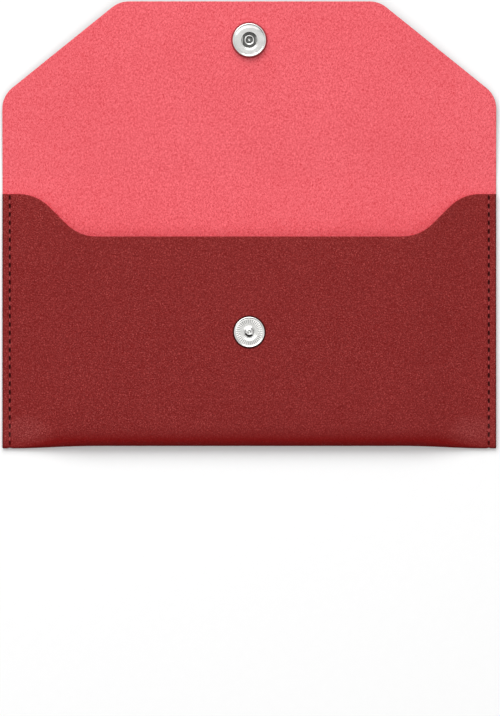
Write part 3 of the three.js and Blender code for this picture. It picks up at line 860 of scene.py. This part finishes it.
def build_thread(place, name, node, side, front):
    """One thread of a seam, dipping into the leather at each needle hole"""
    sheet, seam = values_of("sheet", "seam")
    holes = needle_holes(place)
    stack = 2 * sheet.thickness + sheet.seam_cavity
    radius = seam.diameter / 2
    face = stack - 0.14 * MM if front else radius + 0.01 * MM
    lock = stack / 2 + (0.2 * MM if front else -0.2 * MM)
    rng = np.random.default_rng(7 + int(side > 0) + 2 * int(front))
    sides = 10
    angle = np.arange(sides) * 2 * math.pi / sides
    t = np.linspace(0, 1, 17)
    bow = np.sin(math.pi * t)
    z = lock + (face - lock) * smoothstep((np.minimum(t, 1 - t) - 0.06) / 0.2)
    if front:
        z = z + 0.04 * MM * bow
    x = side * (place["half_width"] - seam.inset) + 0.09 * MM * (t - 0.5)
    points, faces = [], []
    for low, high in zip(holes[:-1], holes[1:]):
        slack = 0.05 * MM * rng.uniform(-1, 1)
        twist = t[:, None] * 9.5 + rng.uniform(0, 6)
        y = low + (high - low) * (0.05 + 0.9 * t)
        swell = radius * (0.9 + 0.1 * np.cos(2 * (angle - twist)))
        made, quads = tube(np.stack([x + slack * bow, y, z], axis=1), swell, sides)
        start = len(points) * len(made)
        points.append(made)
        faces += [tuple(start + i for i in q) for q in quads]
    uv = np.stack(np.broadcast_arrays(t[:, None], angle / 6.3), axis=2).reshape(-1, 2)
    obj = mesh_object(
        name, np.concatenate(points), faces, np.zeros(len(faces)),
        [material("sewing_thread", thread_material)], np.tile(uv, (seam.stitches, 1)),
    )
    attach(obj, "pocket")
    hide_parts(node)


# The press stud, in millimetres along and away from its axis


def build_cap(place):
    """Domed cap outside the flap, with its barrel rolled over inside the socket"""
    snap = bpy.context.scene.wallet_snap
    radius, dome, rim = snap.cap_radius / MM, snap.cap_dome / MM, snap.cap_rim / MM
    lining = bpy.context.scene.wallet_sheet.thickness / MM
    seat = lining + 0.35
    angles = np.radians(np.linspace(0, 90, 22))
    profile = [(max(radius * math.sin(a), AXIS), -rim - (dome - rim) * math.cos(a)) for a in angles]
    profile += arc(radius - 0.22, -0.27, 0.22, 0, 90, 5)
    profile += [(1.3, -0.05), (1.3, seat)]
    profile += arc(1.55, seat + 0.15, 0.17, -70, 100, 7)
    profile += [(1.3, seat + 0.26), (1.12, seat + 0.12)]
    bore = len(profile) - 1
    profile += [(1.02, seat - 0.05), (0.95, lining + 0.1), (0.55, lining + 0.06)]
    profile += [(0.3, lining + 0.16), (AXIS, lining + 0.2)]

    # Faces in the bore take the dark nickel of painted shade.
    def in_bore(row, turn):
        return (row >= bore) & (row < len(profile) - 2)

    center = on_flap(place, place["reach"], -place["upper"].z)
    obj = lathe("snap_cap_shell", profile, center, place["rise"], 96, 42, in_bore)
    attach(obj, "flap")
    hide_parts("snap_cap")


def build_socket(place):
    """Socket on the flap's lining: base, rolled outer rim, dished face and rolled mouth"""
    snap = bpy.context.scene.wallet_snap
    outer, top, mouth = snap.socket_radius / MM, snap.socket_top / MM, snap.mouth_radius / MM
    base, roll = 0.05, 0.34
    profile = [(1.45, base), (outer - 0.25, base), (outer - 0.02, base + 0.3), (outer, base + 0.8)]
    profile += arc(outer - roll, top - roll, roll, 0, 140, 10)
    profile += [(5.0, top - 0.14), (4.7, top - 0.21), (4.35, top - 0.29)]
    profile += [(4.0, top - 0.34), (3.6, top - 0.34), (3.2, top - 0.27)]
    profile += arc(mouth + 0.3, top - 0.48, 0.27, 80, 200, 8)
    # From here on the socket's inside takes the dark nickel of painted shade.
    inside = len(profile) - 1
    profile += [(mouth + 0.1, top - 0.66), (outer - 0.45, top - 0.66)]
    profile += [(outer - 0.45, base + 0.25), (1.45, base + 0.25)]
    center = on_flap(place, place["reach"], place["lining"])
    obj = lathe("snap_socket_ring", profile, center, place["rise"], 128, 48,
                lambda row, turn: row >= inside)
    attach(obj, "flap")
    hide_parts("snap_socket")


def build_spring(place):
    """Hairpin of spring wire whose two legs cross the socket's mouth"""
    snap = bpy.context.scene.wallet_snap
    gap, leg = snap.wire_gap, snap.wire_leg
    bow = snap.wire_room - gap
    path = [(gap, y) for y in np.linspace(-leg, bow, 14)[:-1]]
    path += [(gap * math.cos(a), bow + gap * math.sin(a)) for a in np.linspace(0, math.pi, 22)]
    path += [(-gap, y) for y in np.linspace(bow, -leg, 14)[1:]]
    z = place["lining"] + snap.wire_height
    points = [on_flap(place, place["reach"] + y, z) + Vector((x, 0, 0)) for x, y in path]
    made, faces = tube(points, snap.wire_radius, 12)
    wire = metal("spring_wire", tuple(bpy.context.scene.wallet_color.spring), 0.3, 1800.0)
    obj = mesh_object("socket_spring_wire", made, faces, np.zeros(len(faces)), [wire])
    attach(obj, "flap")
    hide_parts("socket_spring")


def build_stud(place):
    """Stud: rounded outer rim, knurled ring, neck and ball"""
    snap = bpy.context.scene.wallet_snap
    outer, top, ridge = snap.stud_radius / MM, snap.stud_flange / MM, snap.ridge_height / MM
    profile = [(1.15, 0.05), (outer - 0.2, 0.05)]
    profile += arc(outer - 0.3, top - 0.3, 0.3, -35, 128, 11)
    profile += [(4.55, top - 0.14)]
    profile += [(r, top - 0.15) for r in (4.35, 4.2, 3.9, 3.5, 3.1, 2.95)]
    knurl_end = len(profile) - 1
    profile += [(2.75, top - 0.1), (2.45, top - 0.05), (2.1, top - 0.02)]
    profile += [(1.84, top + 0.06), (1.7, top + 0.22)]
    profile += arc(1.68, top + 0.42, 0.22, -50, 30, 5)
    profile += arc(0.55, top - 0.35, 1.4, 40, 75, 9)
    profile += [(0.9, top + 0.9)]

    def knurl(radius, turn):
        inside = smoothstep((radius - 2.9) / 0.25) * smoothstep((4.45 - radius) / 0.2)
        return ridge * inside * np.cos(snap.ridges * turn)

    # Knurl grooves and the bore take the dark nickel of painted shade.
    def in_groove(row, turn):
        knurled = (row >= knurl_end - 4) & (row < knurl_end)
        return knurled & (np.cos(snap.ridges * turn) < -0.75) | (row == len(profile) - 1)

    obj = lathe("snap_stud_body", profile, place["stud"], 0.0, 288, 50, in_groove, knurl)
    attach(obj, "pocket")
    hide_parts("snap_stud")


def build_post(place):
    """Eyelet that holds the stud: head inside the pocket, end rolled over the ball"""
    head = -bpy.context.scene.wallet_sheet.thickness / MM - 0.05
    seat = 1.5
    profile = [(0.9, head - 0.33), (3.6, head - 0.35)]
    profile += arc(3.8, head - 0.17, 0.17, -80, 90, 6)
    profile += [(0.9, head), (0.9, seat)]
    profile += arc(1.0, seat + 0.08, 0.1, -70, 60, 5)
    profile += arc(0.72, seat - 0.04, 0.26, 75, 160, 6)
    # The rolled end's inner faces take the dark nickel of painted shade.
    bore = len(profile) - 1
    profile += [(0.44, seat - 0.12), (0.34, seat - 0.1), (AXIS, seat), (AXIS, head - 0.3)]
    obj = lathe("stud_post_eyelet", profile, place["stud"], 0.0, 72, 42,
                lambda row, turn: (row == bore) | (row == bore + 1))
    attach(obj, "pocket")
    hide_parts("stud_post")


# The stage


def build_floor():
    """A pale table top that reads white behind the wallet and keeps its shadow"""
    nodes = Finish("pale_floor")
    coordinates = nodes.add("TexCoord").outputs["Object"]
    speckle = nodes.spread(nodes.noise(coordinates, 300.0), 0.3, 0.7)
    color = nodes.mix(speckle, (0.955, 0.955, 0.955), (0.965, 0.965, 0.965))
    path = nodes.add("LightPath").outputs
    mirrored = nodes.larger(path["Is Glossy Ray"], path["Is Transmission Ray"])
    seen = nodes.larger(path["Is Camera Ray"], mirrored)
    color = nodes.mix(seen, (0.32, 0.32, 0.32), color)
    # Far from the wallet the table runs out into the white of the backdrop.
    away = nodes.add("VectorMath", {0: coordinates}, operation="LENGTH").outputs["Value"]
    away = nodes.times(nodes.spread(away, 0.17, 0.6), seen)
    nodes.finish(
        Base_Color=nodes.mix(away, color, (0, 0, 0)), Roughness=0.9, Specular_IOR_Level=0.0,
        Emission_Color=(1, 1, 1), Emission_Strength=away,
    )
    size = 6.0
    corners = [(-size, -size, 0), (size, -size, 0), (size, size, 0), (-size, size, 0)]
    floor = mesh_object("floor", corners, [(0, 1, 2, 3)], [0], [nodes.material])
    floor.location.z = -0.01 * MM


def build_world(strength):
    """Even light all round, white to the camera, and a studio in reflections"""
    world = bpy.data.worlds.new("studio")
    bpy.context.scene.world = world
    world.use_nodes = True
    nodes = Nodes(world.node_tree)
    path = nodes.add("LightPath").outputs
    direction = nodes.add("TexCoord").outputs["Generated"]
    height = nodes.toward(direction, (0, 0, 1))
    soft = nodes.spread(height, 0.0, 0.7, 0.2 * strength, 1.3 * strength)
    level = nodes.larger(soft, nodes.larger(path["Is Camera Ray"], path["Is Transmission Ray"]))
    # Polished metal sees a white ceiling over the grey foot of the studio's walls, and an
    # unlit doorway at the front.
    ceiling = nodes.spread(height, 0.05, 0.5, 0.05, 0.95)
    front = nodes.toward(direction, (-0.2, -0.98, 0))
    doorway = nodes.spread(front, 0.3, 0.55, 1.0, 0.02)
    patches = nodes.spread(nodes.noise(direction, 1.6, 1.0, 0.5), 0.4, 0.55, 0.75, 1.0)
    even = nodes.larger(patches, nodes.spread(height, 0.8, 0.95))
    room = nodes.times(nodes.times(ceiling, doorway), even)
    glossy = path["Is Glossy Ray"]
    kept = nodes.times(level, nodes.minus(1.0, glossy))
    background = world.node_tree.nodes["Background"]
    nodes.set(background, "Color", (1, 1, 1))
    nodes.set(background, "Strength", nodes.plus(kept, nodes.times(room, glossy)))


def build_softbox(name, place, size, watts):
    """An area light that looks at the middle of the wallet"""
    light = bpy.data.lights.new(name, "AREA")
    light.shape = "RECTANGLE"
    light.size, light.size_y = size
    light.energy = watts
    obj = bpy.data.objects.new(name, light)
    obj.location = place
    obj.rotation_euler = (-Vector(place)).to_track_quat("-Z", "Y").to_euler()
    bpy.context.scene.collection.objects.link(obj)


def build_camera(stage, top):
    """Straight down on the table, as the photograph was taken"""
    camera = bpy.data.cameras.new("camera")
    camera.sensor_width = camera.sensor_height = 36.0
    camera.lens = 36.0 * stage.distance / stage.frame_height
    camera.clip_start, camera.clip_end = 0.01, 20.0
    obj = bpy.data.objects.new("camera", camera)
    obj.location = (stage.center_x, top - stage.below_top, stage.distance)
    bpy.context.scene.collection.objects.link(obj)
    bpy.context.scene.camera = obj


# Operators


class WALLET_OT_pocket(bpy.types.Operator):
    """Build the sewn pocket's leather"""

    bl_idname = "wallet.pocket"
    bl_label = "Pocket Leather"

    def execute(self, context):
        build_pocket(places())
        return {"FINISHED"}


class WALLET_OT_flap(bpy.types.Operator):
    """Build the flap's leather"""

    bl_idname = "wallet.flap"
    bl_label = "Flap Leather"

    def execute(self, context):
        build_flap(places())
        return {"FINISHED"}


class WALLET_OT_seams(bpy.types.Operator):
    """Sew both side seams"""

    bl_idname = "wallet.seams"
    bl_label = "Side Seams"

    def execute(self, context):
        place = places()
        for side_name, side in (("left", -1), ("right", 1)):
            for thread_name, front in (("needle", True), ("bobbin", False)):
                node = f"{side_name}_{thread_name}_thread"
                build_thread(place, f"{side_name}_{thread_name}_stitches", node, side, front)
        return {"FINISHED"}


class WALLET_OT_socket(bpy.types.Operator):
    """Build the flap's half of the snap: cap, socket and spring"""

    bl_idname = "wallet.socket"
    bl_label = "Snap Socket"

    def execute(self, context):
        place = places()
        build_cap(place)
        build_socket(place)
        build_spring(place)
        return {"FINISHED"}


class WALLET_OT_stud(bpy.types.Operator):
    """Build the front panel's half of the snap: stud and eyelet"""

    bl_idname = "wallet.stud"
    bl_label = "Snap Stud"

    def execute(self, context):
        place = places()
        build_stud(place)
        build_post(place)
        return {"FINISHED"}


class WALLET_OT_stage(bpy.types.Operator):
    """Set up the floor, lights and camera"""

    bl_idname = "wallet.stage"
    bl_label = "Stage"

    def execute(self, context):
        stage = context.scene.wallet_stage
        context.scene.view_settings.view_transform = "Standard"
        build_floor()
        build_world(stage.sky)
        build_softbox("key_softbox", (-0.3, 0.95, 1.0), (1.6, 0.9), stage.key)
        build_softbox("fill_softbox", (0.1, -0.45, 1.1), (1.6, 0.4), stage.fill)
        build_camera(stage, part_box("pocket")[1].y)
        return {"FINISHED"}


class WALLET_PT_panel(bpy.types.Panel):
    """Sidebar panel with the wallet's settings and builders"""

    bl_label = "Cash Envelope Wallet"
    bl_idname = "WALLET_PT_panel"
    bl_space_type = "VIEW_3D"
    bl_region_type = "UI"
    bl_category = "Wallet"

    def draw(self, context):
        for operator in OPERATORS:
            self.layout.operator(operator.bl_idname)
        for name in SETTINGS:
            box = self.layout.box()
            settings = getattr(context.scene, name)
            for key in settings.__annotations__:
                box.prop(settings, key)


OPERATORS = (
    WALLET_OT_pocket, WALLET_OT_flap, WALLET_OT_seams, WALLET_OT_socket, WALLET_OT_stud,
    WALLET_OT_stage,
)
SETTINGS = {
    "wallet_sheet": WalletSheetSettings,
    "wallet_flap": WalletFlapSettings,
    "wallet_seam": WalletSeamSettings,
    "wallet_snap": WalletSnapSettings,
    "wallet_color": WalletColorSettings,
    "wallet_stage": WalletStageSettings,
}


def register():
    for cls in (*SETTINGS.values(), *OPERATORS, WALLET_PT_panel):
        bpy.utils.register_class(cls)
    for name, group in SETTINGS.items():
        setattr(bpy.types.Scene, name, bpy.props.PointerProperty(type=group))


def unregister():
    for name in SETTINGS:
        delattr(bpy.types.Scene, name)
    for cls in reversed((*SETTINGS.values(), *OPERATORS, WALLET_PT_panel)):
        bpy.utils.unregister_class(cls)


def main():
    """Registers the add-on and runs its operators"""
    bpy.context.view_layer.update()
    register()
    for operator in OPERATORS:
        group, name = operator.bl_idname.split(".")
        getattr(getattr(bpy.ops, group), name)()


if __name__ == "__main__":
    main()
